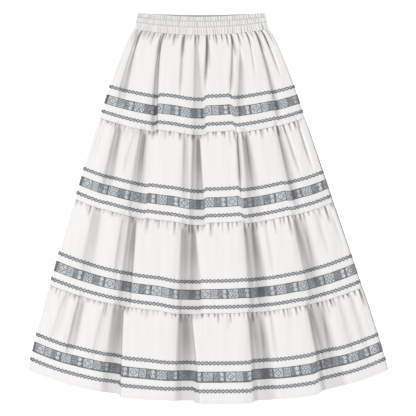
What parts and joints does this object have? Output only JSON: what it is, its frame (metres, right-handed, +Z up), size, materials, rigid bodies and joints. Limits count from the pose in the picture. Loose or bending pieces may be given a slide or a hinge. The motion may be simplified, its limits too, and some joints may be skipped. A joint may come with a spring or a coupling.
{
  "type": "prairie skirt",
  "caption": "Tiered prairie skirt laid flat: shirred elastic waistband over gathered tiers, each with a woven ribbon between narrow braids above its lower seam.",
  "frame": {"origin": "middle of the laid-out skirt's bounding box, on the surface that it lies on", "axes": "+Z up off the surface, out of the skirt's front; +Y from the hem to the waist; +X to the right as seen from above with the waist at the top"},
  "size_m": [0.794, 0.8616, 0.02],
  "materials": {
    "cloth": "matt off-white plain-weave cotton",
    "ribbon": "blue-grey and pale jacquard ribbon with a slight sheen",
    "braid": "blue-grey crossed braid"
  },
  "bodies": {
    "root": {"waistband_front": "cloth", "waistband_back": "cloth", "tier_1_front": "cloth", "tier_1_back": "cloth", "tier_1_braid_upper": "braid", "tier_1_ribbon": "ribbon", "tier_1_braid_lower": "braid", "tier_2_front": "cloth", "tier_2_back": "cloth", "tier_2_braid_upper": "braid", "tier_2_ribbon": "ribbon", "tier_2_braid_lower": "braid", "tier_3_front": "cloth", "tier_3_back": "cloth", "tier_3_braid_upper": "braid", "tier_3_ribbon": "ribbon", "tier_3_braid_lower": "braid", "tier_4_front": "cloth", "tier_4_back": "cloth", "tier_4_braid_upper": "braid", "tier_4_ribbon": "ribbon", "tier_4_braid_lower": "braid"}
  },
  "joints": []
}
